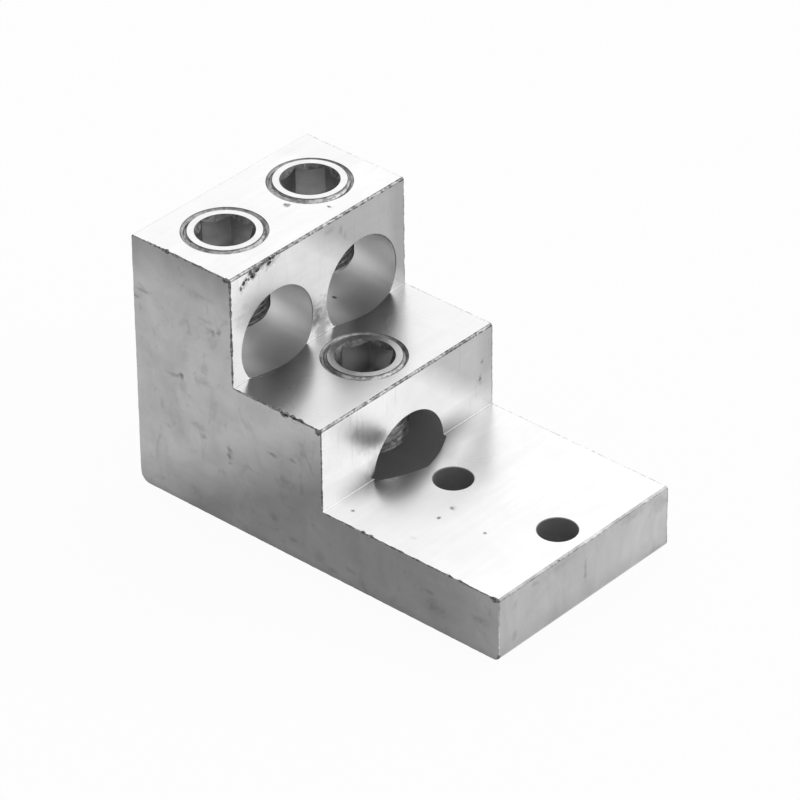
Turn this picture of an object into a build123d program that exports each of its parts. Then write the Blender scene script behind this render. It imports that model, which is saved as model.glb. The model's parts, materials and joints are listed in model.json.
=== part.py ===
from build123d import *
import math
import os

# Three-port mechanical lug. One stepped aluminium extrusion lies on its base. Two wire ports run side by
# side through the top tier, a third runs under them and opens over the middle tier's riser, and a flat
# tang with two bolt holes is in front. A hex-socket set screw clamps the wire in each port.
# Sizes are in millimetres. +X runs from the back face to the end of the tang and +Z is up. The origin is
# the middle of the rectangle that the lug covers on the surface it lies on. Left is -Y and right is +Y,
# as seen from the end of the tang.

# Wire ports, drilled from the back face
port_diameter = 34.5
port_web = 6.5  # between the two upper ports
port_side_wall = 4.47  # between an upper port and the sawn side
port_base_wall = 6.15  # under the lower port
drill_point_angle = 135.0
upper_port_overrun = 0.1  # full diameter in front of the top tier's riser
lower_port_overrun = 1.4  # full diameter in front of the middle tier's riser
upper_port_dip = 6.85  # the upper ports' lowest line, below the middle tier's top

# Tiers, each as long as its set screw and the walls round it
upper_roof = 13.4  # metal over the upper ports
lower_roof = 14.7  # metal over the lower port
top_back_wall = 7.11
top_front_wall = 8.07
middle_back_wall = 5.35
middle_front_wall = 4.51

# Tang and its bolt holes
tang_thickness = 23.9
bolt_hole_diameter = 13.5
bolt_spacing = 44.45
port_to_bolt_wall = 4.0  # from the lower port's drill point to the first hole
tang_end_wall = 4.85

# Corners of the extruded profile
base_back_radius = 4.0
tang_end_base_radius = 2.5
tang_end_top_radius = 1.3
tier_edge_radius = 0.6
tier_root_radius = 0.8

# Set screws and their tapped holes, each modelled at the thread's major diameter
thread_diameter = 28.575
thread_clearance = 0.06  # radial, between a screw and its hole
tapped_hole_mouth_chamfer = 0.4
screw_length = 30.5
screw_top_chamfer = 1.8
screw_tip_chamfer = 1.3
socket_across_flats = 17.0
socket_depth = 13.0
socket_mouth_chamfer = 1.65  # radial, measured from the socket's flats
socket_drill_angle = 120.0

# How far each screw stands above its tier, and the direction of one corner of its hex socket in degrees
top_left_proud = 0.05
top_right_proud = 0.5
middle_proud = 0.3
top_left_turn = 3.0
top_right_turn = 41.8
middle_turn = 2.0

# Cutters start this far outside the face that they open
cut_past = 2.0

# Places that follow from the sizes
port_radius = port_diameter / 2
thread_radius = thread_diameter / 2
bolt_hole_radius = bolt_hole_diameter / 2
drill_point_length = port_radius / math.tan(math.radians(drill_point_angle / 2))

body_width = 4 * port_radius + port_web + 2 * port_side_wall
lower_axis_z = port_base_wall + port_radius
middle_top_z = lower_axis_z + port_radius + lower_roof
upper_axis_z = middle_top_z - upper_port_dip + port_radius
body_top_z = upper_axis_z + port_radius + upper_roof
upper_axis_y = port_radius + port_web / 2

top_tier_length = top_back_wall + thread_diameter + top_front_wall
middle_tier_length = middle_back_wall + thread_diameter + middle_front_wall
first_hole_distance = lower_port_overrun + drill_point_length + port_to_bolt_wall + bolt_hole_radius
tang_length = first_hole_distance + bolt_spacing + bolt_hole_radius + tang_end_wall

back_x = -(top_tier_length + middle_tier_length + tang_length) / 2
top_riser_x = back_x + top_tier_length
middle_riser_x = top_riser_x + middle_tier_length
end_x = middle_riser_x + tang_length
top_screw_x = back_x + top_back_wall + thread_radius
middle_screw_x = top_riser_x + middle_back_wall + thread_radius
first_hole_x = middle_riser_x + first_hole_distance


def extrusion():
    """The stepped bar between its two sawn sides."""
    corners = [
        ((back_x, 0), base_back_radius),
        ((end_x, 0), tang_end_base_radius),
        ((end_x, tang_thickness), tang_end_top_radius),
        ((middle_riser_x, tang_thickness), tier_root_radius),
        ((middle_riser_x, middle_top_z), tier_edge_radius),
        ((top_riser_x, middle_top_z), tier_root_radius),
        ((top_riser_x, body_top_z), tier_edge_radius),
        ((back_x, body_top_z), tier_edge_radius),
    ]
    outline = FilletPolyline(
        *[point for point, radius in corners],
        radius=[radius for point, radius in corners],
        close=True,
    )
    return extrude(Plane.XZ * make_face(outline), amount=body_width / 2, both=True)


def port_cutter(axis_y, axis_z, full_diameter_end_x):
    """A drill's path along +X from behind the back face, with the cone of its point."""
    straight_length = full_diameter_end_x - back_x + cut_past
    along_x = Plane(origin=(back_x - cut_past, axis_y, axis_z), x_dir=(0, 1, 0), z_dir=(1, 0, 0))
    drilled = Cylinder(port_radius, straight_length, align=(Align.CENTER, Align.CENTER, Align.MIN))
    point = Cone(port_radius, 0, drill_point_length, align=(Align.CENTER, Align.CENTER, Align.MIN))
    return along_x * (drilled + Pos(0, 0, straight_length) * point)


def tapped_hole_cutter(x, y, mouth_z, port_axis_z):
    """The hole for a set screw, from its chamfered mouth down to the axis of its port."""
    depth = mouth_z - port_axis_z
    hole = Cylinder(thread_radius, depth + cut_past, align=(Align.CENTER, Align.CENTER, Align.MIN))
    mouth = Cone(
        thread_radius - cut_past,
        thread_radius + tapped_hole_mouth_chamfer + cut_past,
        tapped_hole_mouth_chamfer + 2 * cut_past,
        align=(Align.CENTER, Align.CENTER, Align.MIN),
    )
    return Pos(x, y, port_axis_z) * hole + Pos(x, y, mouth_z - tapped_hole_mouth_chamfer - cut_past) * mouth


def bolt_hole_cutter(x):
    """A plain hole right through the tang."""
    return Pos(x, 0, tang_thickness / 2) * Cylinder(bolt_hole_radius, tang_thickness + 2 * cut_past)


def lug_body():
    """The extrusion with its three ports, three tapped holes and two bolt holes."""
    body = extrusion()
    for side in (-1, 1):
        body -= port_cutter(side * upper_axis_y, upper_axis_z, top_riser_x + upper_port_overrun)
        body -= tapped_hole_cutter(top_screw_x, side * upper_axis_y, body_top_z, upper_axis_z)
    body -= port_cutter(0, lower_axis_z, middle_riser_x + lower_port_overrun)
    body -= tapped_hole_cutter(middle_screw_x, 0, middle_top_z, lower_axis_z)
    for x in (first_hole_x, first_hole_x + bolt_spacing):
        body -= bolt_hole_cutter(x)
    return body


def set_screw():
    """A headless screw standing on its tip at the origin, with a hex socket in its top."""
    radius = thread_radius - thread_clearance
    half_section = Polyline(
        (0, 0),
        (radius - screw_tip_chamfer, 0),
        (radius, screw_tip_chamfer),
        (radius, screw_length - screw_top_chamfer),
        (radius - screw_top_chamfer, screw_length),
        (0, screw_length),
        close=True,
    )
    blank = revolve(Plane.XZ * make_face(half_section), Axis.Z)

    flat_radius = socket_across_flats / 2
    hexagon = RegularPolygon(flat_radius, 6, major_radius=False, rotation=0)
    socket = Pos(0, 0, screw_length - socket_depth) * extrude(hexagon, amount=socket_depth + cut_past)
    drill_point = Cone(
        0,
        flat_radius,
        flat_radius / math.tan(math.radians(socket_drill_angle / 2)),
        align=(Align.CENTER, Align.CENTER, Align.MAX),
    )
    mouth = Cone(
        flat_radius - cut_past,
        flat_radius + socket_mouth_chamfer + cut_past,
        socket_mouth_chamfer + 2 * cut_past,
        align=(Align.CENTER, Align.CENTER, Align.MAX),
    )
    blank -= socket
    blank -= Pos(0, 0, screw_length - socket_depth) * drill_point
    blank -= Pos(0, 0, screw_length + cut_past) * mouth
    return blank


def placed_screw(x, y, tier_top_z, proud, turn):
    """A set screw in its hole, with its top a little above the tier."""
    return Pos(x, y, tier_top_z + proud - screw_length) * Rot(0, 0, turn) * set_screw()


pieces = {
    "lug_body": lug_body(),
    "set_screw_top_left": placed_screw(
        top_screw_x, -upper_axis_y, body_top_z, top_left_proud, top_left_turn
    ),
    "set_screw_top_right": placed_screw(
        top_screw_x, upper_axis_y, body_top_z, top_right_proud, top_right_turn
    ),
    "set_screw_middle": placed_screw(middle_screw_x, 0, middle_top_z, middle_proud, middle_turn),
}

os.makedirs("parts", exist_ok=True)
for name, piece in pieces.items():
    export_step(piece, f"parts/{name}.step")
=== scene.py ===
import json
import math
from collections import namedtuple

import bmesh
import bpy
from mathutils import Matrix, Vector, noise


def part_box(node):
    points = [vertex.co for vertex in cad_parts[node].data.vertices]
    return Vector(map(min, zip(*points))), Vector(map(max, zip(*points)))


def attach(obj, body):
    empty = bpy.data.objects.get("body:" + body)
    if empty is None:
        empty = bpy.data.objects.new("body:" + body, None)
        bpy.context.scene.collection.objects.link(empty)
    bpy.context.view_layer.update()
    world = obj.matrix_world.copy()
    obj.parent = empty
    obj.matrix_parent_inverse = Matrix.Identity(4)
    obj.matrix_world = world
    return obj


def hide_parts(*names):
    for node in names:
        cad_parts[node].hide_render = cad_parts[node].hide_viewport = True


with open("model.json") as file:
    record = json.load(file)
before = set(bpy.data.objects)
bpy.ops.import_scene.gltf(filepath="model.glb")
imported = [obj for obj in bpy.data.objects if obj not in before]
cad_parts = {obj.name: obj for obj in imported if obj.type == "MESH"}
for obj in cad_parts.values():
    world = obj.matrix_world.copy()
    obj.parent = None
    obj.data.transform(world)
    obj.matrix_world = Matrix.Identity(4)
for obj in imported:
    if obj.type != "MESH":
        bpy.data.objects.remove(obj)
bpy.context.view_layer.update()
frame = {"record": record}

# Three-port mechanical lug: one sawn and drilled aluminium extrusion with three hex-socket set screws.
# Lengths are in millimetres up to the last step of each mesh, which scales it to metres.

MM = 0.001

# Sizes read from the frame
record_mounts = {mount["name"]: mount for mount in frame["record"]["mounts"]}
body_low, body_high = (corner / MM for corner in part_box("lug_body"))
BACK_X, END_X = body_low.x, body_high.x
HALF_WIDTH = body_high.y
LEFT = -HALF_WIDTH
BODY_TOP = body_high.z

upper_port_mount = record_mounts["upper_right_port"]
lower_port_mount = record_mounts["lower_port"]
PORT_RADIUS = upper_port_mount["dims"]["r_mm"]
UPPER_PORT_Y, UPPER_PORT_Z = (value / MM for value in upper_port_mount["pos_m"][1:])
LOWER_PORT_Z = lower_port_mount["pos_m"][2] / MM
TOP_RISER_X = BACK_X + upper_port_mount["dims"]["length_mm"]
MIDDLE_RISER_X = BACK_X + lower_port_mount["dims"]["length_mm"]

bolt_mount = record_mounts["tang_bolts"]
BOLT_HOLE_RADIUS = bolt_mount["dims"]["hole_r_mm"]
BOLT_SPACING = bolt_mount["dims"]["spacing_x_mm"]
BOLT_MIDDLE_X = bolt_mount["pos_m"][0] / MM

# Sizes that the frame's record doesn't give, as in the part's source
TANG_TOP = 23.9
MIDDLE_TOP = 55.35
DRILL_POINT_ANGLE = 135.0
UPPER_PORT_OVERRUN = 0.1
LOWER_PORT_OVERRUN = 1.4
BASE_BACK_RADIUS = 4.0
TANG_END_BASE_RADIUS = 2.5
TANG_END_TOP_RADIUS = 1.1
TIER_EDGE_RADIUS = 0.85
TIER_ROOT_RADIUS = 0.5
THREAD_RADIUS = 28.575 / 2
THREAD_CLEARANCE = 0.06
HOLE_MOUTH_CHAMFER = 0.1
COUNTERSINK_RADIUS = 14.6
COUNTERSINK_DEPTH = 0.6
PORT_MOUTH_CHAMFER = 0.35
LOWER_PORT_SWELL = 0.8
BOLT_HOLE_MOUTH_CHAMFER = 0.25
SCREW_TOP_CHAMFER = 1.8
SCREW_TIP_CHAMFER = 1.3
SOCKET_ACROSS_FLATS = 17.0
SOCKET_DEPTH = 13.0
SOCKET_MOUTH_CHAMFER = 1.65
SOCKET_DRILL_ANGLE = 120.0
SOCKET_DRILL_CLEARANCE = 0.03
BROACH_CORNER_RADIUS = 0.1

# Cutters start this far outside the face that they open
CUT_PAST = 1.0

# Points round a port and round a bolt hole
PORT_COLUMNS = 192
BOLT_HOLE_COLUMNS = 112

# Thread of 12 turns to the inch
PITCH = 25.4 / 12
THREAD_DEPTH = 0.6134 * PITCH
THREAD_COLUMNS = 144
TAP_DRILL_CLEARANCE = 0.12
THREAD_START_SLOPE = 2

# Places of the materials in the block's list and in the screws' list
TOP, RISER, TANG_END, SAWN, SAW_EDGE, EDGE_LINE, NOSE = range(7)
UPPER_BORE, LOWER_BORE, THREAD, BOLT_HOLE, GOUGE, PIT = range(7, 13)
SCREW_THREAD, SCREW_TOP, SCREW_CHAMFER, SOCKET, SOCKET_MOUTH = range(5)

# The set screws. The turn is the direction of one corner of the socket, in degrees
Screw = namedtuple("Screw", "node body turn tier_top port_axis countersink_shift")
SCREWS = (
    Screw("set_screw_top_left", "top_left_screw", 3.0, BODY_TOP, UPPER_PORT_Z, (0.1, -0.3)),
    Screw("set_screw_top_right", "top_right_screw", 41.8, BODY_TOP, UPPER_PORT_Z, (0.17, -0.28)),
    Screw("set_screw_middle", "middle_screw", 2.0, MIDDLE_TOP, LOWER_PORT_Z, (-0.14, -0.36)),
)


scene = bpy.context.scene


def linked_object(name, data):
    """A new object in the scene."""
    made = bpy.data.objects.new(name, data)
    scene.collection.objects.link(made)
    return made


def mesh_object(name, vertices, faces, material=0):
    """An object, still in millimetres. The material is one place in a list, or one for each face."""
    mesh = bpy.data.meshes.new(name)
    mesh.from_pydata(vertices, [], faces)
    made = linked_object(name, mesh)
    for index, polygon in enumerate(mesh.polygons):
        polygon.material_index = material if isinstance(material, int) else material[index]
    work = bmesh.new()
    work.from_mesh(mesh)
    bmesh.ops.recalc_face_normals(work, faces=work.faces)
    work.to_mesh(mesh)
    work.free()
    return made


def revolved(name, profile, columns, material, placing):
    """A solid of revolution about Z from (radius, height) points. Its ends have a radius of 0."""
    vertices, rings = [], []
    for radius, height in profile:
        count = 1 if radius == 0 else columns
        rings.append(range(len(vertices), len(vertices) + count))
        for column in range(count):
            turn = 2 * math.pi * column / columns
            vertices.append((radius * math.cos(turn), radius * math.sin(turn), height))
    faces = []
    for lower, upper in zip(rings, rings[1:]):
        for column in range(columns):
            following = (column + 1) % columns
            corners = []
            for ring, steps in ((lower, (column, following)), (upper, (following, column))):
                corners += [ring[0]] if len(ring) == 1 else [ring[step] for step in steps]
            faces.append(corners)
    made = mesh_object(name, vertices, faces, material)
    made.data.transform(placing)
    return made


BEND_STEPS = 9


def bend_strips(x, z, turn, material):
    """Materials of the strips round one bend of the outline, by the edge or the root that it makes."""
    if z == 0:
        return [material] * BEND_STEPS
    if turn < 0:
        return [EDGE_LINE] + [material] * (BEND_STEPS - 1)
    if x == END_X:
        return [TANG_END] * 3 + [EDGE_LINE] + [NOSE] * 5
    if x == BACK_X:
        return [TOP] * 5 + [RISER] * 4
    return [EDGE_LINE] * 3 + [NOSE] * 3 + [EDGE_LINE] * 3


def rounded_outline(corners, spacing):
    """Points round a polygon of (x, z, radius, material of the next run) corners.

    Each point is a place, an outward direction and the material of the strip up to the next point.
    """
    count = len(corners)
    bends = []
    for index, (x, z, radius, material) in enumerate(corners):
        here = Vector((x, z))
        before = Vector(corners[index - 1][:2])
        after = Vector(corners[(index + 1) % count][:2])
        arriving, leaving = (here - before).normalized(), (after - here).normalized()
        turn = math.atan2(arriving.cross(leaving), arriving.dot(leaving))
        reach = radius * math.tan(abs(turn) / 2)
        bends.append((here - arriving * reach, here + leaving * reach, arriving, turn))
    outline = []
    for index, (start, stop, arriving, turn) in enumerate(bends):
        x, z, radius, material = corners[index]
        outward = Vector((arriving.y, -arriving.x))
        bend = 1 if turn > 0 else -1
        centre = start - outward * radius * bend
        for step, strip in enumerate(bend_strips(x, z, turn, material)):
            direction = outward.copy()
            direction.rotate(Matrix.Rotation(turn * step / BEND_STEPS, 2))
            outline.append((centre + direction * radius * bend, direction, strip))
        direction = outward.copy()
        direction.rotate(Matrix.Rotation(turn, 2))
        following = bends[(index + 1) % count][0]
        pieces = max(1, round((following - stop).length / spacing))
        for step in range(pieces):
            outline.append((stop.lerp(following, step / pieces), direction, material))
    return outline


def ripple(*place):
    """Smooth repeatable noise between about -1 and 1."""
    return noise.noise(Vector(place))


# Raised burrs that the saw left on the left side's upper edges, as (x, height, half length)
LEFT_BURRS = (
    (-16.2, 0.7, 0.9),
    (-14.2, 1.2, 0.9),
    (-11.4, 0.9, 0.8),
    (-8.8, 1.1, 0.8),
    (-5.6, 0.7, 1.0),
    (21.0, 0.5, 0.8),
    (24.6, 0.4, 1.0),
    (57.8, 0.3, 0.7),
    (62.4, 0.4, 0.8),
    (-62.9, 0.4, 0.9),
)
EDGE_STEP = 0.5

# Wear of the saw edges on each side, as (usual, swing), with its limits and its share in two zones
SIDE_WEAR = {-1: (0.36, 0.24), 1: (0.3, 0.2)}
LEAST_WEAR = 0.1
WEAR_REACH = 1.2
MOST_WEAR = 0.8 * WEAR_REACH
BACK_AND_BASE_WEAR = 0.5
TOP_TIER_WEAR = 1.35
WEAR_SLOPE = 0.9

# Ripples along a millimetre of the edges, and the lips that the saw turned up on faces that point out
LONG_RIPPLES, SHORT_RIPPLES, LIP_RIPPLES = 0.35, 1.1, 0.6
SHORT_RIPPLE_SHARE = 0.8
LIP_HEIGHT = 0.16
LIP_GAP = 0.02
FACING = 0.9


def edge_ripple(place, ripples, seed):
    """Noise along the outline. Each seed has a pattern of its own."""
    return ripple(place.x * ripples, seed, place.y * ripples)


def edge_wear(place, side):
    """How far a saw edge is worn away at a place of the outline."""
    usual, swing = SIDE_WEAR[side]
    wear = usual + swing * edge_ripple(place, LONG_RIPPLES, side * 7)
    wear += swing * SHORT_RIPPLE_SHARE * edge_ripple(place, SHORT_RIPPLES, side * 3)
    if place.x < BACK_X + 5 or place.y < 5:
        wear *= BACK_AND_BASE_WEAR
    elif place.y > MIDDLE_TOP + 2:
        wear *= TOP_TIER_WEAR
    return min(max(LEAST_WEAR, wear), MOST_WEAR)


def edge_lip(place, outward, side):
    """How far a saw edge stands out there, inside the lug's box."""
    faces_up = outward.y > FACING
    lip = 0.0
    if (faces_up and place.y < BODY_TOP - 1) or (outward.x > FACING and place.x < END_X - 1):
        lip = max(0.0, LIP_HEIGHT * edge_ripple(place, LIP_RIPPLES, side * 11) - LIP_GAP)
    if side < 0 and faces_up:
        for burr_x, height, half_length in LEFT_BURRS:
            lip += height * math.exp(-(((place.x - burr_x) / half_length) ** 2))
    return lip


def sawn_block():
    """The stepped bar, sawn off at both sides, with worn and burred saw edges."""
    corners = (
        (BACK_X, 0, BASE_BACK_RADIUS, TOP),
        (END_X, 0, TANG_END_BASE_RADIUS, TANG_END),
        (END_X, TANG_TOP, TANG_END_TOP_RADIUS, TOP),
        (MIDDLE_RISER_X, TANG_TOP, TIER_ROOT_RADIUS, RISER),
        (MIDDLE_RISER_X, MIDDLE_TOP, TIER_EDGE_RADIUS, TOP),
        (TOP_RISER_X, MIDDLE_TOP, TIER_ROOT_RADIUS, RISER),
        (TOP_RISER_X, BODY_TOP, TIER_EDGE_RADIUS, TOP),
        (BACK_X, BODY_TOP, TIER_EDGE_RADIUS, RISER),
    )
    outline = rounded_outline(corners, EDGE_STEP)
    rings = []
    for side in (-1, 1):
        worn, lipped, plain = [], [], []
        for place, outward, material in outline:
            wear, lip = edge_wear(place, side), edge_lip(place, outward, side)
            worn.append((*(place - outward * wear), side * HALF_WIDTH))
            lipped.append((*(place + outward * lip), side * (HALF_WIDTH - wear * WEAR_SLOPE)))
            plain.append((*place, side * (HALF_WIDTH - WEAR_REACH)))
        rings += [worn, lipped, plain] if side < 0 else [plain, lipped, worn]

    count = len(outline)
    vertices = [(x, y, z) for ring in rings for x, z, y in ring]
    faces = [tuple(range(count)), tuple(reversed(range(5 * count, 6 * count)))]
    materials = [SAWN, SAWN]
    for ring in range(5):
        for index in range(count):
            following = (index + 1) % count
            here, there = ring * count, (ring + 1) * count
            faces.append((here + index, here + following, there + following, there + index))
            materials.append(SAW_EDGE if ring in (0, 4) else outline[index][2])
    return mesh_object("lug_block", vertices, faces, materials)


def along_x(x, y, z):
    """Placing of a shape made round Z so that its axis lies along X."""
    return Matrix.Translation((x, y, z)) @ Matrix.Rotation(math.pi / 2, 4, "Y")


# Steps of a port's drill point, and the direction that its side swells in, out and along
POINT_STEPS = 12
SWELL_OUT, SWELL_ALONG = 0.38, 0.92


def port_cutter(name, y, z, full_diameter_end_x, material, nose_swell=0.0):
    """What the port's drill takes away, with a small chamfer at the back face and the cone of its point.

    The swell is how far the side of the point stands out past a straight cone.
    """
    mouth = PORT_MOUTH_CHAMFER
    length = full_diameter_end_x - BACK_X
    point = PORT_RADIUS / math.tan(math.radians(DRILL_POINT_ANGLE / 2))
    profile = [
        (0, -CUT_PAST),
        (PORT_RADIUS + mouth + CUT_PAST, -CUT_PAST),
        (PORT_RADIUS, mouth),
        (PORT_RADIUS, length),
    ]
    for step in range(1, POINT_STEPS):
        share = step / POINT_STEPS
        swell = nose_swell * math.sin(math.pi * share)
        radius = PORT_RADIUS * (1 - share) + swell * SWELL_OUT
        profile.append((radius, length + point * share + swell * SWELL_ALONG))
    profile.append((0, length + point))
    return revolved(name, profile, PORT_COLUMNS, material, along_x(BACK_X, y, z))


def bolt_hole_cutter(name, x):
    """What a bolt hole's drill takes away, with both mouths lightly chamfered."""
    mouth = BOLT_HOLE_MOUTH_CHAMFER
    profile = (
        (0, -CUT_PAST),
        (BOLT_HOLE_RADIUS + mouth + CUT_PAST, -CUT_PAST),
        (BOLT_HOLE_RADIUS, mouth),
        (BOLT_HOLE_RADIUS, TANG_TOP - mouth),
        (BOLT_HOLE_RADIUS + mouth + CUT_PAST, TANG_TOP + CUT_PAST),
        (0, TANG_TOP + CUT_PAST),
    )
    return revolved(name, profile, BOLT_HOLE_COLUMNS, BOLT_HOLE, Matrix.Translation((x, 0, 0)))


def threaded_column(name, low, high, shape, outer, material):
    """A closed threaded rod round Z. Its rows follow the helix, and shape(radius, height) trims it."""
    inner = outer - THREAD_DEPTH
    middle = (outer + inner) / 2
    rows_in_turn = (
        (0.0, outer),
        (0.125, outer),
        (0.281, middle),
        (0.4375, inner),
        (0.5625, inner),
        (0.6875, inner),
        (0.844, middle),
    )
    first = math.floor(low / PITCH) - 2
    last = math.ceil(high / PITCH) + 2
    rows = [(turn + part, radius) for turn in range(first, last) for part, radius in rows_in_turn]
    shift = len(rows_in_turn)

    vertices, found = [], {}

    def point(column, row):
        wraps, column = divmod(column, THREAD_COLUMNS)
        row += wraps * shift
        turns, radius = rows[min(row, len(rows) - 1)]
        angle = 2 * math.pi * column / THREAD_COLUMNS
        height = min(max((turns + column / THREAD_COLUMNS) * PITCH, low), high)
        radius = shape(radius, height)
        key = (column, round(height, 5), round(radius, 5))
        if key not in found:
            found[key] = len(vertices)
            vertices.append((radius * math.cos(angle), radius * math.sin(angle), height))
        return found[key]

    faces = []
    for column in range(THREAD_COLUMNS):
        for row in range(len(rows) - 1 - shift):
            corners = [point(column + right, row + up) for right, up in ((0, 0), (1, 0), (1, 1), (0, 1))]
            distinct = list(dict.fromkeys(corners))
            if len(distinct) > 2:
                faces.append(distinct)
    faces.append([point(column, 0) for column in range(THREAD_COLUMNS)])
    faces.append([point(column, len(rows) - 1 - shift) for column in range(THREAD_COLUMNS)])
    return mesh_object(name, vertices, faces, material)


def tap_cutter(name, placing, surface_height, port_axis_height):
    """What the tap takes away, in the frame of its screw, with a lightly chamfered mouth."""
    drilled = THREAD_RADIUS - THREAD_DEPTH + TAP_DRILL_CLEARANCE

    def shape(radius, height):
        start = drilled + THREAD_START_SLOPE * (height - port_axis_height)
        mouth = THREAD_RADIUS + HOLE_MOUTH_CHAMFER + (height - surface_height)
        return max(min(max(radius, drilled), start), mouth)

    top = surface_height + CUT_PAST
    made = threaded_column(name, port_axis_height, top, shape, THREAD_RADIUS, THREAD)
    made.data.transform(placing)
    return made


def countersink_cutter(name, x, y, surface_z):
    """What the countersink takes away at a tapped hole's mouth, a little off the hole's axis."""
    profile = (
        (0, -COUNTERSINK_DEPTH),
        (COUNTERSINK_RADIUS - COUNTERSINK_DEPTH, -COUNTERSINK_DEPTH),
        (COUNTERSINK_RADIUS + CUT_PAST, CUT_PAST),
        (0, CUT_PAST),
    )
    return revolved(name, profile, THREAD_COLUMNS, THREAD, Matrix.Translation((x, y, surface_z)))


def screw_blank(length):
    """The set screw's threaded bar, chamfered at both ends, standing on its tip."""
    outer = THREAD_RADIUS - THREAD_CLEARANCE

    def shape(radius, height):
        below_top = outer - SCREW_TOP_CHAMFER + (length - height)
        above_tip = outer - SCREW_TIP_CHAMFER + height
        return min(radius, below_top, above_tip)

    return threaded_column("screw_blank", 0, length, shape, outer, SCREW_THREAD)


def hexagon_prism(name, across_flats, corner_radius, low, high, material):
    """A hexagonal broach along Z with slightly rounded corners, one of them on +X."""
    flat = across_flats / 2
    corner = (flat - corner_radius) / math.cos(math.pi / 6)
    ring = []
    for side in range(6):
        for step in range(-2, 3):
            angle = side * math.pi / 3
            turn = angle + step * math.pi / 12
            x = corner * math.cos(angle) + corner_radius * math.cos(turn)
            y = corner * math.sin(angle) + corner_radius * math.sin(turn)
            ring.append((x, y))
    count = len(ring)
    vertices = [(x, y, z) for z in (low, high) for x, y in ring]
    faces = [tuple(range(count)), tuple(range(count, 2 * count))]
    for index in range(count):
        following = (index + 1) % count
        faces.append((index, following, count + following, count + index))
    return mesh_object(name, vertices, faces, material)


def carve(target, materials, cutters):
    """Takes the cutters away from the target's mesh, one by one, and deletes them."""
    for cut_or_kept in (target, *cutters):
        for material in materials:
            cut_or_kept.data.materials.append(material)
    for cutter in cutters:
        cut = target.modifiers.new(cutter.name, "BOOLEAN")
        cut.operation = "DIFFERENCE"
        cut.solver = "MANIFOLD"
        cut.object = cutter
        evaluated = target.evaluated_get(bpy.context.evaluated_depsgraph_get())
        carved = bpy.data.meshes.new_from_object(evaluated)
        target.modifiers.clear()
        old = target.data
        target.data = carved
        bpy.data.meshes.remove(old)
        bpy.data.objects.remove(cutter)


# Lumps of a chip, as (share of its size, how many in a radius, shift of the noise for each chip)
CHIP_SIZE = 0.95
COARSE_LUMPS = (0.5, 1.6, 5.3)
FINE_LUMPS = (0.3, 4.1, 3.1)


def chip_cutter(name, place, half_sizes, seed, material):
    """An irregular lump that takes a chip or a pit out of a surface."""
    work = bmesh.new()
    bmesh.ops.create_icosphere(work, subdivisions=3, radius=1.0)
    coarse, coarse_scale, coarse_apart = COARSE_LUMPS
    fine, fine_scale, fine_apart = FINE_LUMPS
    for vertex in work.verts:
        point = vertex.co
        swell = CHIP_SIZE + coarse * ripple(*(point * coarse_scale + Vector((seed * coarse_apart, 0, 0))))
        swell += fine * ripple(*(point * fine_scale + Vector((0, seed * fine_apart, 0))))
        vertex.co = Vector(place) + Vector([point[axis] * swell * half_sizes[axis] for axis in range(3)])
    mesh = bpy.data.meshes.new(name)
    work.to_mesh(mesh)
    work.free()
    for polygon in mesh.polygons:
        polygon.material_index = material
    return linked_object(name, mesh)


# Chips under the upper riser's edge, as (y, z, half sizes along x, y, z)
RISER_CHIPS = (
    (-19.8, 96.2, 0.4, 0.9, 0.4),
    (-21.6, 95.9, 0.5, 1.2, 0.7),
    (-23.2, 95.9, 0.6, 0.9, 0.8),
    (-23.9, 94.4, 0.5, 1.0, 1.0),
    (-25.2, 95.8, 0.5, 1.1, 0.6),
    (-27.6, 95.6, 0.5, 1.4, 0.7),
    (-29.2, 94.6, 0.5, 1.2, 0.9),
    (-30.6, 95.1, 0.5, 1.0, 1.2),
    (-31.6, 93.4, 0.6, 1.2, 1.3),
    (-32.6, 94.9, 0.5, 0.9, 0.9),
    (-34.6, 93.3, 0.3, 0.6, 0.7),
    (-35.8, 92.4, 0.4, 0.8, 1.0),
    (-37.2, 91.0, 0.3, 0.6, 0.9),
    (-33.4, 92.8, 0.25, 0.5, 0.6),
    (-10.5, 95.9, 0.4, 1.2, 0.4),
    (14.0, 95.9, 0.4, 1.0, 0.4),
)

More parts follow.
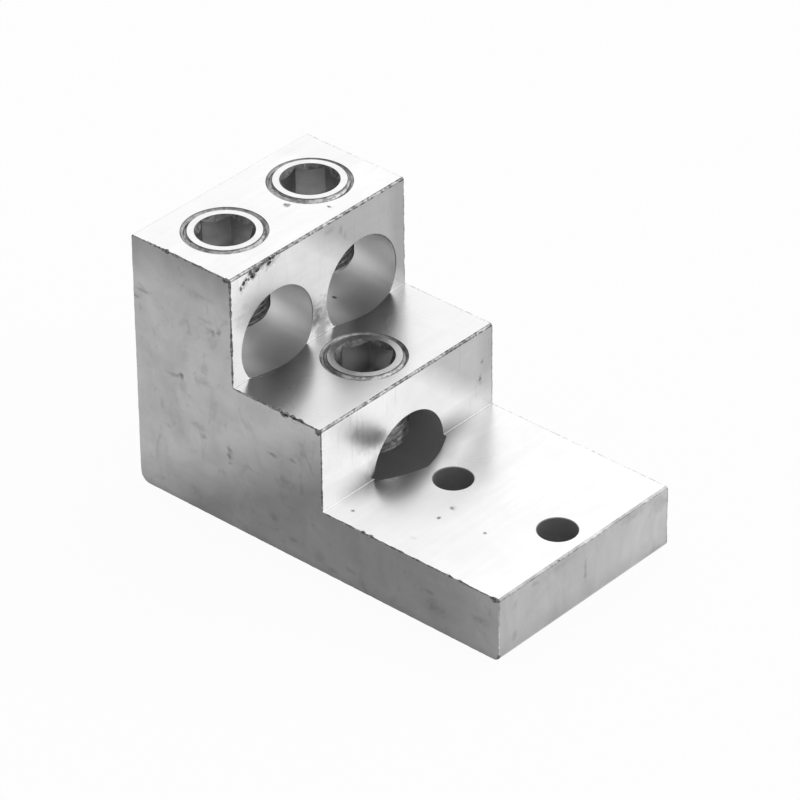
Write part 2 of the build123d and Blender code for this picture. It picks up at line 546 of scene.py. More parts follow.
# Every chip in the edges, as (x, y, z, half sizes along x, y, z)
CHIPS = (
    *((TOP_RISER_X, *chip) for chip in RISER_CHIPS),
    # the top tier's left edge and its corners
    (-62.8, LEFT, BODY_TOP - 0.2, 1.1, 0.9, 0.9),
    (-66.3, LEFT, BODY_TOP, 0.8, 0.5, 0.4),
    (-48.0, LEFT, BODY_TOP, 1.2, 0.5, 0.4),
    (-36.6, LEFT, BODY_TOP - 0.6, 1.9, 0.8, 0.9),
    (TOP_RISER_X, LEFT, BODY_TOP - 1.2, 0.6, 0.6, 1.3),
    (BACK_X, LEFT, BODY_TOP, 0.9, 0.6, 0.7),
    (TOP_RISER_X, HALF_WIDTH, BODY_TOP, 0.5, 1.1, 0.7),
    (BACK_X, -0.8, BODY_TOP, 0.6, 1.3, 0.5),
    (-75.7, HALF_WIDTH, BODY_TOP, 1.0, 0.4, 0.4),
    # the middle tier's edges and its corners
    (MIDDLE_RISER_X, -20.2, MIDDLE_TOP, 0.5, 1.0, 0.5),
    (2.1, LEFT, MIDDLE_TOP - 0.9, 1.3, 0.7, 1.4),
    (-12.6, LEFT, MIDDLE_TOP - 0.5, 2.0, 0.8, 0.8),
    (-8.0, LEFT, MIDDLE_TOP - 0.2, 1.2, 0.6, 0.5),
    (MIDDLE_RISER_X, HALF_WIDTH, MIDDLE_TOP, 0.6, 1.6, 0.7),
    # the tang's edges and its corners
    (76.9, LEFT, TANG_TOP - 0.4, 2.2, 0.8, 1.0),
    (END_X, LEFT, 1.8, 1.3, 0.7, 1.2),
    (END_X, -12.6, TANG_TOP, 0.7, 0.9, 0.5),
    (END_X, -27.9, TANG_TOP, 0.5, 1.1, 0.4),
    (END_X, 19.0, TANG_TOP, 0.4, 0.8, 0.4),
    (20.8, LEFT, TANG_TOP, 1.1, 0.6, 0.5),
    (57.5, LEFT, TANG_TOP, 0.8, 0.4, 0.4),
    (21.7, HALF_WIDTH, TANG_TOP, 0.8, 0.4, 0.4),
)

# Shallow pits in the faces, in the same form
PITS = (
    (-52.4, 4.1, BODY_TOP, 1.3, 0.9, 0.25),
    (-41.5, 12.3, BODY_TOP, 0.7, 0.6, 0.15),
    (MIDDLE_RISER_X, 36.7, 43.0, 0.12, 0.6, 0.6),
    (MIDDLE_RISER_X, 35.6, 36.8, 0.14, 0.6, 1.1),
    (33.5, -13.1, TANG_TOP, 0.8, 0.8, 0.14),
    (33.9, -20.1, TANG_TOP, 0.6, 0.7, 0.12),
    (50.8, -16.8, TANG_TOP, 0.7, 0.5, 0.08),
    (10.3, -35.1, TANG_TOP, 0.6, 0.6, 0.1),
    (-52.9, 26.5, 49.65, 1.1, 0.8, 0.3),
)

# Points nearer than this are welded. Bends sharper than this, in degrees, stay sharp
WELD_DISTANCE = 0.0005
SMOOTH_ANGLE = 28
NORMAL_WEIGHT = 80


def finish_piece(piece, body, slot, *nodes):
    """Shades the mesh, scales it to metres, and lets it ride in the place of its CAD nodes."""
    work = bmesh.new()
    work.from_mesh(piece.data)
    bmesh.ops.remove_doubles(work, verts=work.verts, dist=WELD_DISTANCE)
    bmesh.ops.dissolve_degenerate(work, edges=work.edges, dist=WELD_DISTANCE)
    work.to_mesh(piece.data)
    work.free()
    piece.data.transform(Matrix.Scale(MM, 4))
    piece.data.shade_smooth()
    piece.data.set_sharp_from_angle(angle=math.radians(SMOOTH_ANGLE))
    weighted = piece.modifiers.new("weighted_normals", "WEIGHTED_NORMAL")
    weighted.keep_sharp = True
    weighted.weight = NORMAL_WEIGHT
    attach(piece, body)
    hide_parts(*nodes)


# Camera, fitted to the photograph
CAMERA_AZIMUTH = math.radians(41.821)
CAMERA_ELEVATION = math.radians(33.593)
CAMERA_ROLL = math.radians(-0.585)
CAMERA_DISTANCE = 1.8486
CAMERA_LENS = 244.96
CAMERA_SENSOR = 36
CAMERA_CLIP_END = 20
CAMERA_TARGET = Vector((BACK_X + 38.08, 45.21, 4.38)) * MM


def add_camera():
    """The camera, looking down on the left side and the tang's end."""
    turned, raised = CAMERA_AZIMUTH, CAMERA_ELEVATION
    level_share = math.cos(raised)
    back = Vector((math.sin(turned) * level_share, -math.cos(turned) * level_share, math.sin(raised)))
    right = Vector((math.cos(turned), math.sin(turned), 0))
    up = back.cross(right)
    level = Matrix((right, up, back)).transposed().to_4x4()
    camera = linked_object("camera", bpy.data.cameras.new("camera"))
    camera.data.lens = CAMERA_LENS
    camera.data.sensor_width = CAMERA_SENSOR
    camera.data.clip_end = CAMERA_CLIP_END
    camera.matrix_world = (
        Matrix.Translation(CAMERA_TARGET + back * CAMERA_DISTANCE)
        @ level
        @ Matrix.Rotation(CAMERA_ROLL, 4, "Z")
    )
    scene.camera = camera


X, Y, Z = range(3)
NOISE_RANGE = (0.3, 0.7)

# Blots: scale and reach of their ragged outline, and where they start and stop fading, in half sizes
RAGGED_SCALE = 480
RAGGED_REACH = 0.55
BLOT_FADE = (0.3, 1.2)
MARK_DEPTH = 3

# Specks of dirt along a face's border
SPECK_SCALE = 900
SOLID_BORDER_SHARE = 0.25

# Finish of each bare metal, as (brightness, roughness, clouds and grain in a metre, depth of the grain)
FINISHES = {
    "top_plating": ((0.92, 0.98), (0.25, 0.31), 45, (420, 25, 60), 0.001),
    "riser_plating": ((0.86, 0.95), (0.23, 0.29), 60, (25, 25, 420), 0.001),
    # The tang's end plating is darker than the rest as painted shade
    "tang_end_plating": ((0.44, 0.54), (0.32, 0.4), (90, 90, 60), (60, 400, 20), 0.004),
    "sawn_side": ((0.46, 0.55), (0.44, 0.54), (80, 80, 70), (30, 30, 700), 0.012),
    "upper_bore": ((0.845, 0.915), (0.28, 0.36), 40, (700, 25, 25), 0.01),
    # The lower bore, the tapped threads and the bolt holes are dark as painted shade
    "lower_bore": ((0.5, 0.56), (0.5, 0.6), 40, (700, 60, 60), 0.02),
    "tapped_thread": ((0.1, 0.26), (0.3, 0.45), 400, 400, 0.03),
    "bolt_hole": ((0.28, 0.33), (0.5, 0.6), 40, (700, 60, 60), 0.02),
    "gouge": ((0.08, 0.42), (0.4, 0.6), 500, 600, 0.04),
    "pit": ((0.3, 0.55), (0.4, 0.5), 300, 600, 0.02),
    "screw_thread": ((0.14, 0.56), (0.25, 0.4), 300, 600, 0.03),
    "screw_top": ((0.86, 0.97), (0.24, 0.3), 160, 400, 0.005),
    "screw_chamfer": ((0.6, 0.9), (0.3, 0.4), (90, 90, 1500), (500, 500, 900), 0.03),
    "socket": ((0.46, 0.56), (0.3, 0.38), 150, (800, 800, 60), 0.005),
    "socket_mouth": ((0.04, 0.27), (0.35, 0.45), 420, 500, 0.04),
}
for name in ("saw_edge", "edge_line", "rubbed_nose"):
    FINISHES[name] = ((0.9, 0.98), (0.3, 0.4), 60, 300, 0.01)
GRAIN_SHADE = (0.98, 1.015)
WAVE_SHARE = 0.6
WAVE_DEPTH = 0.04
SHADED_WALL_METALLIC = 0.4


def per_axis(scale):
    """A scale for each axis, from three or from one that they share."""
    return scale if isinstance(scale, tuple) else (scale,) * 3


class Nodes:
    """A node tree whose nodes are added by short calls."""

    def __init__(self, tree):
        self.tree = tree

    def node(self, kind, inputs=(), **settings):
        made = self.tree.nodes.new(kind)
        for key, value in settings.items():
            setattr(made, key, value)
        for key, value in dict(inputs).items():
            self.set(made.inputs[key], value)
        return made

    def set(self, socket, value):
        if isinstance(value, bpy.types.NodeSocket):
            self.tree.links.new(value, socket)
        else:
            socket.default_value = value

    def remap(self, value, low, high, new_low, new_high, kind="LINEAR"):
        """Carries a value from one range over to another, and stops at its ends."""
        names = ("Value", "From Min", "From Max", "To Min", "To Max")
        inputs = zip(names, (value, low, high, new_low, new_high))
        return self.node("ShaderNodeMapRange", inputs, interpolation_type=kind).outputs["Result"]

    def math(self, operation, first, second):
        inputs = {0: first, 1: second}
        return self.node("ShaderNodeMath", inputs, operation=operation).outputs[0]

    def product(self, value, *factors):
        for factor in factors:
            value = self.math("MULTIPLY", value, factor)
        return value


class Shader(Nodes):
    """A material, with the object's coordinates and normal at hand."""

    def __init__(self, name):
        self.material = bpy.data.materials.new(name)
        self.material.use_nodes = True
        super().__init__(self.material.node_tree)
        self.shader = self.tree.nodes["Principled BSDF"]
        sources = self.node("ShaderNodeTexCoord")
        self.coordinates, self.normal = sources.outputs["Object"], sources.outputs["Normal"]

    def mapped(self, scale, **others):
        """The object's coordinates, scaled and otherwise changed."""
        inputs = {"Vector": self.coordinates, "Scale": scale, **others}
        return self.node("ShaderNodeMapping", inputs).outputs["Vector"]

    def noise(self, scale, detail, distortion=0.0, turn=(0, 0, 0)):
        """Noise with features of about one over scale, in metres, along each axis."""
        inputs = {
            "Vector": self.mapped(per_axis(scale), Rotation=turn),
            "Scale": 1.0,
            "Detail": detail,
            "Roughness": 0.6,
            "Distortion": distortion,
        }
        return self.node("ShaderNodeTexNoise", inputs).outputs["Fac"]

    def fade(self, length, start, stop, before, after):
        """Goes from one value to another while a length runs from start to stop, in millimetres."""
        return self.remap(length, start * MM, stop * MM, before, after)

    def between(self, share, first, second):
        """The value that lies this share of the way from the first to the second."""
        return self.remap(share, 0.0, 1.0, first, second)

    def give(self, name, value):
        """Sets or links one of the surface's own inputs."""
        self.set(self.shader.inputs[name], value)

    def dim(self, *shares):
        """Leaves these shares of the brightness."""
        self.brightness = self.product(self.brightness, *shares)

    def painted(self, *shares):
        """The material, with these shares of the brightness as its neutral colour."""
        self.dim(*shares)
        channels = {channel: self.brightness for channel in range(3)}
        self.give("Base Color", self.node("ShaderNodeCombineColor", channels).outputs[0])
        return self.material

    def blots(self, marks):
        """Darkens softly round places, as (place, half sizes, share of light left)."""
        ragged_noise = self.noise(RAGGED_SCALE, detail=3)
        ragged = self.remap(ragged_noise, *NOISE_RANGE, -RAGGED_REACH, RAGGED_REACH)
        for place, half_sizes, left in marks:
            location = [-where / half for where, half in zip(place, half_sizes)]
            near = self.mapped([1 / (half * MM) for half in half_sizes], Location=location)
            length = self.node("ShaderNodeVectorMath", {0: near}, operation="LENGTH")
            distance = self.math("ADD", length.outputs["Value"], ragged)
            self.dim(self.remap(distance, *BLOT_FADE, left, 1.0))

    def border(self, distance, width, least, spread):
        """Darkens in specks where the distance to a face's border is less than the width."""
        specks = self.remap(self.noise(SPECK_SCALE, detail=2), *spread, least, 1.0)
        band = self.fade(distance, SOLID_BORDER_SHARE * width, width, 1.0, 0.0)
        self.dim(self.between(band, 1.0, specks))

    def place(self):
        """The object's X, Y and Z coordinates, in metres."""
        apart = self.node("ShaderNodeSeparateXYZ", {"Vector": self.coordinates})
        return [apart.outputs[axis] for axis in "XYZ"]

    def bump(self, height, depth, strength, below=None):
        """A normal that follows a height, its full depth in millimetres, over the normal below."""
        inputs = {"Height": height, "Distance": depth * MM, "Strength": strength}
        if below is not None:
            inputs["Normal"] = below
        return self.node("ShaderNodeBump", inputs).outputs["Normal"]


def on_face(axis, place, marks):
    """Marks for blots on a face across an axis, as (two places, two half sizes, share of light left)."""
    full = []
    for first, second, half_first, half_second, left in marks:
        where, half_sizes = [first, second], [half_first, half_second]
        where.insert(axis, place)
        half_sizes.insert(axis, MARK_DEPTH)
        full.append((where, half_sizes, left))
    return full


def metal(name, turn=(0, 0, 0)):
    """Cloudy bare metal with a directed grain, its brightness still without a colour."""
    grey_range, roughness_range, cloud_scale, grain_scale, grain_depth = FINISHES[name]
    made = Shader(name)
    wave_scale = tuple(WAVE_SHARE * scale for scale in per_axis(cloud_scale))
    clouds = made.noise(cloud_scale, detail=6, distortion=0.8)
    grain = made.noise(grain_scale, detail=2, turn=turn)
    waves = made.noise(wave_scale, detail=1)
    brightness = made.remap(clouds, *NOISE_RANGE, *grey_range)
    made.brightness = made.product(brightness, made.remap(grain, *NOISE_RANGE, *GRAIN_SHADE))
    made.give("Metallic", 1.0)
    made.give("Roughness", made.remap(waves, *NOISE_RANGE, *roughness_range))
    lines = made.bump(grain, grain_depth, strength=0.6)
    made.give("Normal", made.bump(waves, WAVE_DEPTH, strength=0.5, below=lines))
    return made


def dark_wall(name):
    """A bore's wall, dark as painted shade where it is unlit."""
    made = metal(name)
    made.give("Metallic", SHADED_WALL_METALLIC)
    return made.painted()


def painted_root_shade(made, y, away):
    """Share of light left on each side of the lower port's foot, by the distance away from the root:
    painted shade at the root.
    """
    start, width, reach, darkest = 3, 19, 9, 0.45
    beside = made.math("ABSOLUTE", y, 0.0)
    past_port = made.fade(beside, PORT_RADIUS - start, PORT_RADIUS, 0.0, 1.0)
    fading = made.fade(beside, PORT_RADIUS, PORT_RADIUS + width, 1.0, 0.0)
    near = made.product(made.fade(away, 0, reach, 1.0, 0.0), past_port, fading)
    return made.between(near, 1.0, darkest)


def painted_bore_reflection(made, x, y):
    """Share of light left on the tang in front of the lower port, darkest at the opening's right side: a
    painted reflection of the dark bore.
    """
    opening, foot, reach, darkest = 9.3, 1.0, 8, 0.5
    inside = made.fade(made.math("ABSOLUTE", y, 0.0), 0, PORT_RADIUS, 1.0, 0.0)
    outline = made.between(inside, (MIDDLE_RISER_X + foot) * MM, (MIDDLE_RISER_X + opening) * MM)
    near = made.fade(made.math("SUBTRACT", x, outline), 0, reach, 1.0, 0.0)
    right = made.fade(y, 2, 9, 0.0, 1.0)
    fading = made.fade(y, 15, 36, 1.0, 0.0)
    return made.between(made.product(near, right, fading), 1.0, darkest)


# Marks on the tang's top, as (x, y, half sizes, share of light left)
TANG_MARKS = (
    (33.5, -13.1, 1.3, 1.3, 0.75),
    (33.9, -20.1, 1.0, 1.1, 0.8),
    (50.8, -16.8, 1.2, 0.9, 0.85),
    (10.3, -35.1, 1.0, 1.0, 0.85),
    (35.3, -33.7, 1.1, 0.8, 0.88),
)


def top_material():
    """Plating on the upward faces and the underside, with a few soft marks, and painted shade and
    reflection at the lower port's foot.
    """
    made = metal("top_plating")
    x, y, z = made.place()
    from_riser = made.math("SUBTRACT", x, MIDDLE_RISER_X * MM)
    # Painted shade at the lower port's foot, and a painted reflection of the lower bore on the tang in
    # front of it
    left_root = made.fade(y, 0, 1, painted_root_shade(made, y, from_riser), 1.0)
    on_tang = made.math("LESS_THAN", z, (TANG_TOP + 5) * MM)
    darkening = made.between(on_tang, 1.0, made.product(left_root, painted_bore_reflection(made, x, y)))
    # Painted light and shade across the step: lighter at the left, darker at the right
    from_step = made.math("ABSOLUTE", made.math("SUBTRACT", z, MIDDLE_TOP * MM), 0.0)
    on_step = made.math("LESS_THAN", from_step, 3 * MM)
    left_painted_light, right_painted_shade = made.between(on_step, 1.0, 1.05), made.between(on_step, 1.0, 0.94)
    made.dim(darkening, made.fade(y, 0, 12, left_painted_light, right_painted_shade))

    # The back edge is a border of the top tier only, so it is moved away from the lower faces
    on_top_tier = made.math("GREATER_THAN", z, (BODY_TOP - 5) * MM)
    moved = made.between(on_top_tier, 100 * MM, 0.0)
    from_back = made.math("ADD", made.math("SUBTRACT", x, BACK_X * MM), moved)
    to_border = made.math("MINIMUM", made.math("SUBTRACT", HALF_WIDTH * MM, y), from_back)
    made.border(to_border, width=0.8, least=0.45, spread=(0.45, 0.6))
    marks = on_face(Z, BODY_TOP, ((-52.3, 3.9, 1.9, 1.4, 0.7), (-41.4, 12.2, 1.2, 1.1, 0.8)))
    marks += on_face(Z, TANG_TOP, TANG_MARKS)
    marks += on_face(Z, MIDDLE_TOP, ((-21.0, -30.0, 0.9, 0.9, 0.85),))
    made.blots(marks)
    return made.painted()


def riser_painted_shade(made, y, z, height, lower):
    """Share of light left on the risers: a painted reflection of a dark floor toward their upper right
    corner, and milder painted light and shade elsewhere.
    """
    # A slanting painted reflection of a dark floor, toward each riser's upper right corner
    diagonal = made.math("ADD", y, made.product(height, 1.12))
    corner = made.fade(diagonal, HALF_WIDTH - 8, HALF_WIDTH + 6, 0.0, 1.0)
    foot = made.fade(z, 28, 40, 0.55, 1.0)
    corner = made.product(corner, made.between(lower, 1.0, foot))
    reflected_shade = made.between(corner, 1.0, made.between(lower, 0.6, 0.63))
    far_strip = made.fade(y, HALF_WIDTH - 9, HALF_WIDTH - 4, 1.0, 0.86)
    reflected_shade = made.product(reflected_shade, made.between(corner, 1.0, far_strip))
    # Painted light and shade across the rest of the risers
    upper_left = made.fade(y, -38, -26, made.fade(z, 70, 82, 0.86, 1.06), 0.885)
    upper = made.product(upper_left, made.fade(y, -12, -4, 1.0, 0.95))
    right_half = made.fade(y, -12, 0, 1.0, made.between(lower, 1.0, 0.93))
    return made.product(reflected_shade, made.between(lower, upper, 1.0), right_half)


# Marks on the upper riser, as (y, z, half sizes, share of light left); the first, low between the ports,
# is a painted reflection
UPPER_SMEARS_AND_REFLECTION = (
    # painted reflection low between the ports, not a smear
    (0.5, 59.0, 5.0, 9.0, 0.52),
    (-21.8, 95.0, 2.6, 1.6, 0.6),
    (-24.2, 94.4, 2.0, 2.0, 0.6),
    (-28.6, 95.0, 3.0, 1.6, 0.55),
    (-31.4, 94.0, 2.4, 2.6, 0.5),
    (-35.4, 92.4, 1.8, 2.0, 0.65),
    (-36.9, 90.8, 1.2, 1.6, 0.75),
    (4.6, 92.9, 2.6, 1.1, 0.85),
    (10.9, 91.2, 0.9, 2.4, 0.78),
    (12.7, 87.5, 1.2, 1.6, 0.85),
    (-35.9, 83.6, 2.4, 1.0, 0.93),
    (-37.9, 80.4, 2.6, 1.0, 0.9),
    (-39.0, 77.8, 1.8, 0.9, 0.9),
)

# Marks on the lower riser, as (y, z, half sizes, share of light left)
LOWER_SMEARS = (
    (36.7, 43.0, 1.2, 1.2, 0.82),
    (35.6, 36.8, 1.2, 2.2, 0.8),
    (-16.5, 38.5, 8.0, 3.0, 0.8),
    (-25.5, 45.5, 3.0, 2.2, 0.86),
    (-18.0, 28.0, 4.0, 6.0, 0.86),
)


def riser_material():
    """Plating on the upright faces: darker toward the upper right as painted reflection, with short
    scratches and smears, and painted shade at the lower port's foot.
    """
    made = metal("riser_plating")
    x, y, z = made.place()
    lower = made.math("GREATER_THAN", x, (TOP_RISER_X + 2) * MM)
    height = made.math("SUBTRACT", z, made.between(lower, MIDDLE_TOP * MM, TANG_TOP * MM))
    scratches = made.noise((90, 700, 50), detail=3, turn=(math.radians(-50), 0, 0))
    marks = made.remap(scratches, 0.6, 0.74, 1.0, 0.87)
    # Painted shade at the lower port's foot
    darkening = made.between(lower, 1.0, painted_root_shade(made, y, height))
    made.dim(riser_painted_shade(made, y, z, height, lower), marks, darkening)
    from_side = made.math("SUBTRACT", HALF_WIDTH * MM, y)
    made.border(from_side, width=0.9, least=0.3, spread=(0.5, 0.7))
    made.blots(on_face(X, TOP_RISER_X, UPPER_SMEARS_AND_REFLECTION) + on_face(X, MIDDLE_RISER_X, LOWER_SMEARS))
    return made.painted()


# Marks on the tang's end, as (y, z, half sizes, share of light left)
END_MARKS = (
    (0.3, 12.6, 0.7, 4.4, 0.74),
    (-34.8, 6.5, 1.4, 1.9, 0.85),
    (-24.9, 21.4, 2.0, 1.0, 0.75),
    (-34.6, 18.6, 1.2, 2.0, 0.85),
    (35.0, 2.0, 6.0, 1.6, 0.85),
    (37.5, 19.6, 5.0, 3.4, 0.86),
    (24.0, 21.8, 8.0, 1.5, 0.86),
    (-12.0, 21.6, 6.0, 1.4, 0.9),
)


def tang_end_material():
    """The tang's end face: darker than the other plating as painted shade, with a short upright scratch,
    painted shade at its foot, and lighter toward the right.
    """
    made = metal("tang_end_plating")
    _, y, z = made.place()
    # Painted shade at the foot; lighter toward the right
    foot = made.fade(z, 2, 9, 0.86, 1.0)
    toward_right = made.fade(y, -10, 36, 0.98, 1.12)
    made.dim(foot, toward_right)
    from_side = made.math("SUBTRACT", HALF_WIDTH * MM, y)
    made.border(from_side, width=1.0, least=0.6, spread=(0.5, 0.7))
    made.blots(on_face(X, END_X, END_MARKS))
    return made.painted()


# Marks on the left side, as (x, z, half sizes, share of light left)
SAWN_MARKS = (
    (-58.4, 50.5, 1.5, 1.2, 0.42),
    (-61.4, 49.2, 3.2, 1.0, 0.74),
    (-43.6, 73.2, 2.0, 1.2, 0.62),
    (-40.9, 74.1, 1.3, 1.4, 0.62),
    (-46.0, 76.4, 3.0, 0.8, 0.85),
    (-75.6, 76.6, 3.4, 0.6, 0.74),
    (-77.2, 73.3, 1.7, 0.8, 0.7),
    (-37.3, 28.3, 1.2, 3.4, 0.58),
    (-48.8, 30.3, 1.6, 1.2, 0.8),
    (-50.6, 33.5, 3.5, 1.4, 0.84),
    (-18.4, 36.7, 2.0, 0.8, 0.64),
    (-9.1, 38.4, 1.3, 0.7, 0.72),
    (-40.2, 19.8, 1.4, 2.4, 0.86),
    (-44.0, 44.0, 2.0, 5.0, 0.88),
    (-12.9, 28.1, 4.0, 2.4, 0.8),
    (-18.0, 12.0, 2.4, 1.6, 0.8),
    (-9.9, 6.9, 2.2, 1.2, 0.82),
    (7.1, 2.8, 3.0, 1.0, 0.8),
    (15.9, 6.1, 2.4, 1.3, 0.84),
    (-50.0, 85.0, 7.0, 1.4, 0.88),
    (-56.0, 60.0, 1.6, 4.0, 0.9),
    (52.0, 9.0, 4.4, 2.4, 0.84),
    (49.5, 13.7, 2.0, 1.0, 0.8),
    (71.0, 13.0, 3.4, 1.4, 0.82),
)


def sawn_material():
    """The sawn sides: matt, faintly mottled and scratched, with painted shade low down and along the tang.
    """
    made = metal("sawn_side", turn=(0, math.radians(-11), 0))
    x, _, z = made.place()
    # Painted shade: a slanting reflection of a shaded floor low down and along the tang, and a darker
    # foot; painted light toward the tang's tip; darker toward the top edge
    above_slant = made.math("SUBTRACT", z, made.product(x, 0.56))
    painted_floor_shade = made.fade(above_slant, 30, 56, 0.46, 1.0)
    tang_tip_painted_light = made.fade(x, 52, 78, 1.0, 1.36)
    foot = made.fade(z, 0, 3, 0.84, 1.0)
    head = made.fade(z, 81, 94.5, 1.0, 0.66)
    drift = made.remap(made.noise(22, detail=3), 0.35, 0.65, 0.96, 1.04)
    smudges = made.remap(made.noise((150, 150, 110), detail=3, distortion=1.2), 0.58, 0.72, 1.0, 0.84)
    made.dim(painted_floor_shade, tang_tip_painted_light, foot, head, drift, smudges)
    made.blots(on_face(Y, LEFT, SAWN_MARKS))
    return made.painted()


def speckled_material(name, least, most, end_least, upright=1.0, end_upright=1.0):
    """Rubbed or sawn corners: dark specks broken by bright metal, lighter along the tang's end.

    The upright values are the share of light left where the surface doesn't face up, a painted shade.
    """
    made = metal(name)
    x = made.place()[X]
    end = (END_X - 3, END_X - 1.5)
    specks = made.noise((900, 700, 900), detail=2)
    darkening = made.remap(specks, 0.4, 0.6, made.fade(x, *end, least, end_least), most)
    patches = made.remap(made.noise((130, 90, 130), detail=2), 0.35, 0.65, 0.75, 1.2)
    facing = made.node("ShaderNodeSeparateXYZ", {"Vector": made.normal})
    # Painted shade where the surface doesn't face up
    upward = made.remap(facing.outputs["Z"], 0.2, 0.6, made.fade(x, *end, upright, end_upright), 1.0)
    return made.painted(darkening, patches, upward)


def bore_material():
    """The upper ports' walls: drill rings, painted light along the floor, painted shade deep inside, a
    dark burr at the front rim.
    """
    made = metal("upper_bore")
    x, _, z = made.place()
    burr = made.fade(z, 60, 66, 1.0, 0.3)
    rim = made.fade(x, TOP_RISER_X - 0.7, TOP_RISER_X - 0.3, 1.0, burr)
    # Painted light along the floor toward the mouth; painted shade deep under the screw, deeper in the
    # bore and slightly toward the roof
    floor = made.fade(z, 53.5, 57.5, made.fade(x, -58, -46, 0.86, 1.46), 1.0)
    roof = made.fade(z, 58, 66, 1.0, 0.98)
    inner = made.fade(x, -60, -52, 0.93, 1.0)
    return made.painted(floor, roof, rim, inner)


def tapped_thread_material():
    """The tapped holes' threads, dark as painted shade round each screw, lighter in the first turn under
    the mouth.
    """
    made = metal("tapped_thread")
    x, _, z = made.place()
    middle = made.math("GREATER_THAN", x, TOP_RISER_X * MM)
    depth = made.math("SUBTRACT", made.between(middle, BODY_TOP * MM, MIDDLE_TOP * MM), z)
    first_turn = made.fade(depth, 0.9, 1.3, 2.4, 1.0)
    mouth = made.fade(depth, 0.15, 0.4, 0.5, 1.0)
    return made.painted(first_turn, mouth)


def below_top(made):
    """Depth below the top of the screw that a point is on, in metres."""
    x, y, z = made.place()
    top_left, top_right, middle_top = (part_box(screw.node)[1].z for screw in SCREWS)
    right = made.math("GREATER_THAN", y, 0.0)
    middle = made.math("GREATER_THAN", x, TOP_RISER_X * MM)
    top = made.between(middle, made.between(right, top_left, top_right), middle_top)
    return made.math("SUBTRACT", top, z)


def screw_chamfer_material():
    """The screws' upper chamfer: turned rings, dark at the inner and outer edges, the outer as painted
    shade at the gap, with bright nicks.
    """
    made = metal("screw_chamfer")
    depth = below_top(made)
    inner = made.fade(depth, 0.15, 0.45, 0.3, 1.0)
    # Painted shade toward the gap round the screw
    outer = made.fade(depth, 1.1, 1.7, 1.0, 0.4)
    nicks = made.remap(made.noise((500, 500, 1200), detail=2), 0.42, 0.6, 0.5, 1.02)
    return made.painted(inner, outer, nicks)


def socket_material():
    """The broached sockets, with painted light toward the floor of the upper two."""
    made = metal("socket")
    upper = made.fade(made.place()[Z], 60, 70, 0.0, 1.0)
    # Painted light toward the socket floor
    deep = made.fade(below_top(made), 7, 10.5, 0.95, 1.3)
    return made.painted(made.between(upper, 1.0, deep))


def screw_thread_material():
    """The screws' threads, with a painted highlight round the tip of the middle one."""
    made = metal("screw_thread")
    # Painted highlight round the middle screw's tip, where it shows in the lower port
    painted_glint = made.fade(made.place()[Z], 40, 46, 1.6, 0.85)
    made.dim(painted_glint)
    made.brightness = made.math("MINIMUM", made.brightness, 0.95)
    return made.painted()


def build_body(materials):
    """The block with its ports, tapped holes, bolt holes and chips."""
    block = sawn_block()
    upper_end, lower_end = TOP_RISER_X + UPPER_PORT_OVERRUN, MIDDLE_RISER_X + LOWER_PORT_OVERRUN
    cutters = [
        port_cutter("port_left", -UPPER_PORT_Y, UPPER_PORT_Z, upper_end, UPPER_BORE),
        port_cutter("port_right", UPPER_PORT_Y, UPPER_PORT_Z, upper_end, UPPER_BORE),
        port_cutter("port_lower", 0, LOWER_PORT_Z, lower_end, LOWER_BORE, LOWER_PORT_SWELL),
    ]
    for name, side in (("bolt_hole_inner", -1), ("bolt_hole_outer", 1)):
        cutters.append(bolt_hole_cutter(name, BOLT_MIDDLE_X + side * BOLT_SPACING / 2))
    for screw in SCREWS:
        name, tier_top, placing = screw.node, screw.tier_top, screw_placing(screw)
        x, y, foot = placing.translation
        shift_x, shift_y = screw.countersink_shift
        cutters.append(tap_cutter("tap_" + name, placing, tier_top - foot, screw.port_axis - foot))
        cutters.append(countersink_cutter("countersink_" + name, x + shift_x, y + shift_y, tier_top))
    for kind, material, chips in (("gouge", GOUGE, CHIPS), ("pit", PIT, PITS)):
        for index, (x, y, z, *half_sizes) in enumerate(chips):
            cutters.append(chip_cutter(f"{kind}_{index}", (x, y, z), half_sizes, index, material))
    carve(block, materials, cutters)
    finish_piece(block, "body", "tin_plated_aluminium", "lug_body")


def screw_placing(screw):
    """Where a screw made round Z and standing at 0 goes, from its CAD node."""
    low, high = (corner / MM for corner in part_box(screw.node))
    middle = (low + high) / 2
    turned = Matrix.Rotation(math.radians(screw.turn), 4, "Z")
    return Matrix.Translation((middle.x, middle.y, low.z)) @ turned


# How far up a face points, from 0 to 1, on a screw's flat top and on its two chamfers
FLAT_TOP = 0.95
LEAST_CHAMFER, LEAST_MOUTH = 0.6, 0.4


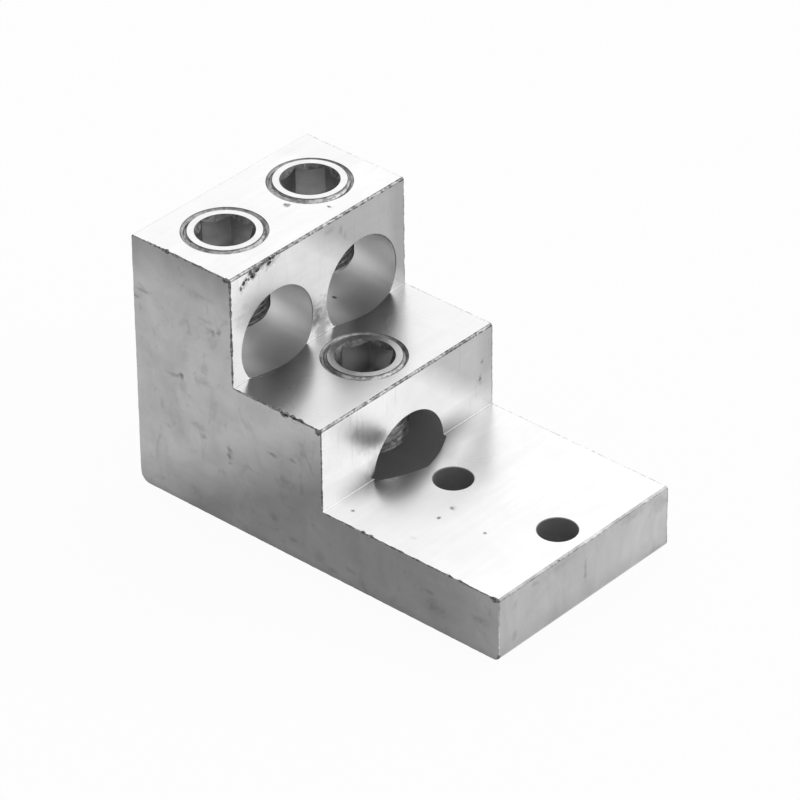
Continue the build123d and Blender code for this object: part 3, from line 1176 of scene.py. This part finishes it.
def build_screws(materials):
    """The three set screws, each a copy of one threaded and broached master."""
    low, high = (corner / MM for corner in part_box(SCREWS[0].node))
    length = high.z - low.z
    master = screw_blank(length)
    flat = SOCKET_ACROSS_FLATS / 2
    drilled = flat - SOCKET_DRILL_CLEARANCE
    socket_floor = length - SOCKET_DEPTH
    drill_point = drilled / math.tan(math.radians(SOCKET_DRILL_ANGLE / 2))
    profile = (
        (0, socket_floor - drill_point),
        (drilled, socket_floor),
        (drilled, length - SOCKET_MOUTH_CHAMFER),
        (flat + SOCKET_MOUTH_CHAMFER + CUT_PAST, length + CUT_PAST),
        (0, length + CUT_PAST),
    )
    drilling = revolved("socket_drilling", profile, THREAD_COLUMNS, SOCKET, Matrix.Identity(4))
    broach = hexagon_prism(
        "broach", SOCKET_ACROSS_FLATS, BROACH_CORNER_RADIUS, socket_floor, length + CUT_PAST, SOCKET
    )
    carve(master, materials, [drilling, broach])
    for polygon in master.data.polygons:
        slope = polygon.normal.z
        if polygon.material_index == SOCKET:
            if LEAST_MOUTH < slope < FLAT_TOP and polygon.center.z > length - SOCKET_DEPTH / 2:
                polygon.material_index = SOCKET_MOUTH
        elif slope > FLAT_TOP:
            polygon.material_index = SCREW_TOP
        elif polygon.center.z > length - SCREW_TOP_CHAMFER and slope > LEAST_CHAMFER:
            polygon.material_index = SCREW_CHAMFER
    for screw in SCREWS:
        piece = linked_object("visual_" + screw.node, master.data.copy())
        piece.data.transform(screw_placing(screw))
        finish_piece(piece, screw.body, "screw_aluminium", screw.node)
    bpy.data.objects.remove(master)


FLOOR_HALF = 4.0
FLOOR_GREY = 0.9
FLOOR_WHITE_SHARE = 0.95


def add_floor():
    """A pale floor that is nearly white to the camera and in reflections, and keeps a soft shadow."""
    made = Shader("floor")
    made.give("Base Color", (FLOOR_GREY, FLOOR_GREY, FLOOR_GREY, 1))
    made.give("Roughness", 1.0)
    made.give("Specular IOR Level", 0.0)
    light = made.node("ShaderNodeEmission", {"Color": (1, 1, 1, 1), "Strength": 1.0})
    paths = made.node("ShaderNodeLightPath")
    seen = made.math("ADD", paths.outputs["Is Camera Ray"], paths.outputs["Is Glossy Ray"])
    seen = made.math("ADD", seen, paths.outputs["Is Transmission Ray"])
    share = made.product(made.math("MINIMUM", seen, 1.0), FLOOR_WHITE_SHARE)
    mix = made.node("ShaderNodeMixShader", {0: share, 1: made.shader.outputs[0], 2: light.outputs[0]})
    made.set(made.tree.nodes["Material Output"].inputs["Surface"], mix.outputs[0])
    half = FLOOR_HALF
    corners = [(-half, -half, 0), (half, -half, 0), (half, half, 0), (-half, half, 0)]
    floor = mesh_object("floor", corners, [(0, 1, 2, 3)])
    floor.data.materials.append(made.material)


def add_light(name, place, size, power):
    """A square softbox that faces the lug."""
    light = bpy.data.lights.new(name, "AREA")
    light.size = size
    light.energy = power
    lamp = linked_object(name, light)
    lamp.location = place
    lamp.rotation_euler = (-Vector(place)).to_track_quat("-Z", "Y").to_euler()


def strength_toward(made, direction, aim, start, stop, least, most):
    """A strength that rises smoothly from least to most as a direction comes nearer to the aim."""
    nearness = made.node("ShaderNodeVectorMath", {0: direction, 1: aim}, operation="DOT_PRODUCT")
    return made.remap(nearness.outputs["Value"], start, stop, least, most, kind="SMOOTHSTEP")


def add_world():
    """Soft white surroundings, brightest at the far side and dimmer overhead and at the left."""
    world = bpy.data.worlds.new("studio")
    scene.world = world
    world.use_nodes = True
    made = Nodes(world.node_tree)
    direction = made.node("ShaderNodeTexCoord").outputs["Generated"]
    window = strength_toward(made, direction, (0, 0.75, 0.66), start=0.15, stop=0.62, least=0.4, most=1.0)
    far_corner = (0.555, 0.621, 0.553)
    corner_gain = strength_toward(made, direction, far_corner, start=0.6, stop=0.95, least=1.0, most=1.12)
    background = made.tree.nodes["Background"]
    made.set(background.inputs["Strength"], made.product(window, corner_gain))
    made.set(background.inputs["Color"], (1, 1, 1, 1))


scene.view_settings.view_transform = "Standard"
add_camera()
add_world()
add_floor()
add_light("soft_key", place=(-0.6, 2.2, 2.4), size=2.4, power=2.5)

body_materials = (
    top_material(),
    riser_material(),
    tang_end_material(),
    sawn_material(),
    speckled_material("saw_edge", least=0.24, most=0.62, end_least=0.42, upright=0.42, end_upright=1.05),
    speckled_material("edge_line", least=0.12, most=0.5, end_least=0.16),
    speckled_material("rubbed_nose", least=0.3, most=0.7, end_least=0.56),
    bore_material(),
    dark_wall("lower_bore"),
    tapped_thread_material(),
    dark_wall("bolt_hole"),
    metal("gouge").painted(),
    metal("pit").painted(),
)
screw_materials = (
    screw_thread_material(),
    metal("screw_top").painted(),
    screw_chamfer_material(),
    socket_material(),
    metal("socket_mouth").painted(),
)
build_body(body_materials)
build_screws(screw_materials)
